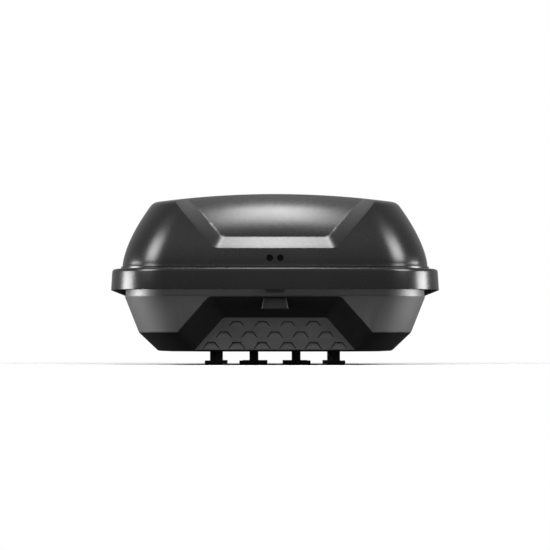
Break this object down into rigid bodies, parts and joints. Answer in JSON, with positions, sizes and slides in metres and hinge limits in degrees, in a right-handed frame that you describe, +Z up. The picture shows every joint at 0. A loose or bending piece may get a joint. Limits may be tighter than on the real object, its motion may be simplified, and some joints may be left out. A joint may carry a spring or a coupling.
{
  "type": "roof cargo box",
  "caption": "Tapered hard-shell roof cargo box that opens at one side, with a recessed rear, gas struts, a sliding lock and knob-driven claws that grip crossbars from inside.",
  "frame": {"origin": "middle of the flat underside that lies on the crossbars, midway between the rear and front ends of the rim", "axes": "+X to the car's right, +Y forwards along the car, +Z up"},
  "size_m": [0.895, 1.95, 0.4869],
  "materials": {
    "lid_shell": "smooth semi-gloss dark grey",
    "base_shell": "smooth semi-gloss dark grey, grained black below",
    "trim_black": "fine grained",
    "seal_rubber": "soft black",
    "rail_aluminium": "extruded, satin",
    "rivet_aluminium": "plain",
    "zinc_steel": "zinc plated",
    "bow_steel": "black powder coat",
    "lock_chrome": "bright nickel",
    "strut_black": "black enamel",
    "rod_chrome": "hard chrome",
    "clamp_black": "moulded, fine grained",
    "knob_grey": "moulded, soft touch",
    "claw_steel": "black dip coated steel"
  },
  "bodies": {
    "base": {"base_shell": "base_shell", "rear_pad": "trim_black", "rim_seal": "seal_rubber", "floor_rails": "rail_aluminium", "rail_rivets": "rivet_aluminium", "hinge_base_leaves": "zinc_steel", "hinge_pins": "zinc_steel", "hinge_base_rivets": "rivet_aluminium", "strikers": "zinc_steel", "striker_rivets": "rivet_aluminium", "strut_foot_brackets": "zinc_steel"},
    "lid": {"lid_shell": "lid_shell", "lid_plugs": "trim_black", "centring_tongue": "trim_black", "roof_bows": "bow_steel", "hinge_lid_leaves": "zinc_steel", "hinge_lid_rivets": "rivet_aluminium", "lock_housing": "trim_black", "rod_guides": "trim_black", "strut_head_brackets": "zinc_steel"},
    "lock_turning": {"lock_cylinder": "lock_chrome", "lock_crank": "zinc_steel"},
    "latch_rod": {"lock_rod": "zinc_steel"},
    "strut_barrel_rear_body": {"strut_barrel_rear": "strut_black"},
    "strut_rod_rear_body": {"strut_rod_rear": "rod_chrome"},
    "strut_barrel_front_body": {"strut_barrel_front": "strut_black"},
    "strut_rod_front_body": {"strut_rod_front": "rod_chrome"},
    "clamp_rear_left": {"clamp_housing_rear_left": "clamp_black", "clamp_pins_rear_left": "zinc_steel"},
    "handwheel_rear_left": {"clamp_knob_rear_left": "knob_grey", "clamp_screw_rear_left": "zinc_steel"},
    "crosshead_rear_left": {"clamp_crosshead_rear_left": "zinc_steel"},
    "front_jaw_rear_left": {"claw_front_rear_left": "claw_steel"},
    "rear_jaw_rear_left": {"claw_rear_rear_left": "claw_steel"},
    "clamp_front_left": {"clamp_housing_front_left": "clamp_black", "clamp_pins_front_left": "zinc_steel"},
    "handwheel_front_left": {"clamp_knob_front_left": "knob_grey", "clamp_screw_front_left": "zinc_steel"},
    "crosshead_front_left": {"clamp_crosshead_front_left": "zinc_steel"},
    "front_jaw_front_left": {"claw_front_front_left": "claw_steel"},
    "rear_jaw_front_left": {"claw_rear_front_left": "claw_steel"},
    "clamp_rear_right": {"clamp_housing_rear_right": "clamp_black", "clamp_pins_rear_right": "zinc_steel"},
    "handwheel_rear_right": {"clamp_knob_rear_right": "knob_grey", "clamp_screw_rear_right": "zinc_steel"},
    "crosshead_rear_right": {"clamp_crosshead_rear_right": "zinc_steel"},
    "front_jaw_rear_right": {"claw_front_rear_right": "claw_steel"},
    "rear_jaw_rear_right": {"claw_rear_rear_right": "claw_steel"},
    "clamp_front_right": {"clamp_housing_front_right": "clamp_black", "clamp_pins_front_right": "zinc_steel"},
    "handwheel_front_right": {"clamp_knob_front_right": "knob_grey", "clamp_screw_front_right": "zinc_steel"},
    "crosshead_front_right": {"clamp_crosshead_front_right": "zinc_steel"},
    "front_jaw_front_right": {"claw_front_front_right": "claw_steel"},
    "rear_jaw_front_right": {"claw_rear_front_right": "claw_steel"}
  },
  "joints": [
    {"name": "lid_hinge", "type": "hinge", "parent": "base", "child": "lid", "pos_m": [-0.43, -0.225, 0.204], "axis": [0, -1, 0], "range_deg": [0, 42]},
    {"name": "lock_turn", "type": "hinge", "parent": "lid", "child": "lock_turning", "pos_m": [0.446, -0.225, 0.184], "axis": [-1, 0, 0], "range_deg": [0, 90]},
    {"name": "latch_slide", "type": "slide", "parent": "lid", "child": "latch_rod", "axis": [0, 1, 0], "range_m": [0, 0.02263]},
    {"name": "strut_foot_rear", "type": "hinge", "parent": "base", "child": "strut_barrel_rear_body", "pos_m": [-0.35, -0.56, 0.06], "axis": [0, -1, 0], "range_deg": [0, 21]},
    {"name": "strut_slide_rear", "type": "slide", "parent": "strut_barrel_rear_body", "child": "strut_rod_rear_body", "axis": [0.1387, 0, 0.9903], "range_m": [0, 0.05364]},
    {"name": "strut_foot_front", "type": "hinge", "parent": "base", "child": "strut_barrel_front_body", "pos_m": [-0.35, 0.09025, 0.06], "axis": [0, -1, 0], "range_deg": [0, 21]},
    {"name": "strut_slide_front", "type": "slide", "parent": "strut_barrel_front_body", "child": "strut_rod_front_body", "axis": [0.1387, 0, 0.9903], "range_m": [0, 0.05364]},
    {"name": "clamp_slide_rear_left", "type": "slide", "parent": "base", "child": "clamp_rear_left", "axis": [0, 1, 0], "range_m": [-0.09, 0.09]},
    {"name": "knob_turn_rear_left", "type": "hinge", "parent": "clamp_rear_left", "child": "handwheel_rear_left", "pos_m": [-0.1195, -0.4, 0.06], "axis": [0, 0, 1], "range_deg": [0, 1260]},
    {"name": "crosshead_slide_rear_left", "type": "slide", "parent": "clamp_rear_left", "child": "crosshead_rear_left", "axis": [0, 0, -1], "range_m": [0, 0.01042]},
    {"name": "front_jaw_turn_rear_left", "type": "hinge", "parent": "clamp_rear_left", "child": "front_jaw_rear_left", "pos_m": [-0.1195, -0.346, 0.026], "axis": [1, 0, 0], "range_deg": [0, 20]},
    {"name": "rear_jaw_turn_rear_left", "type": "hinge", "parent": "clamp_rear_left", "child": "rear_jaw_rear_left", "pos_m": [-0.1195, -0.454, 0.026], "axis": [-1, 0, 0], "range_deg": [0, 20]},
    {"name": "clamp_slide_front_left", "type": "slide", "parent": "base", "child": "clamp_front_left", "axis": [0, 1, 0], "range_m": [-0.09, 0.09]},
    {"name": "knob_turn_front_left", "type": "hinge", "parent": "clamp_front_left", "child": "handwheel_front_left", "pos_m": [-0.1195, 0.35, 0.06], "axis": [0, 0, 1], "range_deg": [0, 1260]},
    {"name": "crosshead_slide_front_left", "type": "slide", "parent": "clamp_front_left", "child": "crosshead_front_left", "axis": [0, 0, -1], "range_m": [0, 0.01042]},
    {"name": "front_jaw_turn_front_left", "type": "hinge", "parent": "clamp_front_left", "child": "front_jaw_front_left", "pos_m": [-0.1195, 0.404, 0.026], "axis": [1, 0, 0], "range_deg": [0, 20]},
    {"name": "rear_jaw_turn_front_left", "type": "hinge", "parent": "clamp_front_left", "child": "rear_jaw_front_left", "pos_m": [-0.1195, 0.296, 0.026], "axis": [-1, 0, 0], "range_deg": [0, 20]},
    {"name": "clamp_slide_rear_right", "type": "slide", "parent": "base", "child": "clamp_rear_right", "axis": [0, 1, 0], "range_m": [-0.09, 0.09]},
    {"name": "knob_turn_rear_right", "type": "hinge", "parent": "clamp_rear_right", "child": "handwheel_rear_right", "pos_m": [0.1195, -0.4, 0.06], "axis": [0, 0, 1], "range_deg": [0, 1260]},
    {"name": "crosshead_slide_rear_right", "type": "slide", "parent": "clamp_rear_right", "child": "crosshead_rear_right", "axis": [0, 0, -1], "range_m": [0, 0.01042]},
    {"name": "front_jaw_turn_rear_right", "type": "hinge", "parent": "clamp_rear_right", "child": "front_jaw_rear_right", "pos_m": [0.1195, -0.346, 0.026], "axis": [1, 0, 0], "range_deg": [0, 20]},
    {"name": "rear_jaw_turn_rear_right", "type": "hinge", "parent": "clamp_rear_right", "child": "rear_jaw_rear_right", "pos_m": [0.1195, -0.454, 0.026], "axis": [-1, 0, 0], "range_deg": [0, 20]},
    {"name": "clamp_slide_front_right", "type": "slide", "parent": "base", "child": "clamp_front_right", "axis": [0, 1, 0], "range_m": [-0.09, 0.09]},
    {"name": "knob_turn_front_right", "type": "hinge", "parent": "clamp_front_right", "child": "handwheel_front_right", "pos_m": [0.1195, 0.35, 0.06], "axis": [0, 0, 1], "range_deg": [0, 1260]},
    {"name": "crosshead_slide_front_right", "type": "slide", "parent": "clamp_front_right", "child": "crosshead_front_right", "axis": [0, 0, -1], "range_m": [0, 0.01042]},
    {"name": "front_jaw_turn_front_right", "type": "hinge", "parent": "clamp_front_right", "child": "front_jaw_front_right", "pos_m": [0.1195, 0.404, 0.026], "axis": [1, 0, 0], "range_deg": [0, 20]},
    {"name": "rear_jaw_turn_front_right", "type": "hinge", "parent": "clamp_front_right", "child": "rear_jaw_front_right", "pos_m": [0.1195, 0.296, 0.026], "axis": [-1, 0, 0], "range_deg": [0, 20]}
  ],
  "couplings": [
    {"joint": "lock_turn", "follows": "latch_slide", "rad_per_m": 69.418},
    {"joint": "strut_foot_rear", "follows": "lid_hinge", "ratio": 0.5},
    {"joint": "strut_slide_rear", "follows": "lid_hinge", "m_per_rad": 0.073161},
    {"joint": "strut_foot_front", "follows": "lid_hinge", "ratio": 0.5},
    {"joint": "strut_slide_front", "follows": "lid_hinge", "m_per_rad": 0.073161},
    {"joint": "knob_turn_rear_left", "follows": "crosshead_slide_rear_left", "rad_per_m": 2110.7},
    {"joint": "front_jaw_turn_rear_left", "follows": "crosshead_slide_rear_left", "rad_per_m": 33.503},
    {"joint": "rear_jaw_turn_rear_left", "follows": "crosshead_slide_rear_left", "rad_per_m": 33.503},
    {"joint": "knob_turn_front_left", "follows": "crosshead_slide_front_left", "rad_per_m": 2110.7},
    {"joint": "front_jaw_turn_front_left", "follows": "crosshead_slide_front_left", "rad_per_m": 33.503},
    {"joint": "rear_jaw_turn_front_left", "follows": "crosshead_slide_front_left", "rad_per_m": 33.503},
    {"joint": "knob_turn_rear_right", "follows": "crosshead_slide_rear_right", "rad_per_m": 2110.7},
    {"joint": "front_jaw_turn_rear_right", "follows": "crosshead_slide_rear_right", "rad_per_m": 33.503},
    {"joint": "rear_jaw_turn_rear_right", "follows": "crosshead_slide_rear_right", "rad_per_m": 33.503},
    {"joint": "knob_turn_front_right", "follows": "crosshead_slide_front_right", "rad_per_m": 2110.7},
    {"joint": "front_jaw_turn_front_right", "follows": "crosshead_slide_front_right", "rad_per_m": 33.503},
    {"joint": "rear_jaw_turn_front_right", "follows": "crosshead_slide_front_right", "rad_per_m": 33.503}
  ]
}
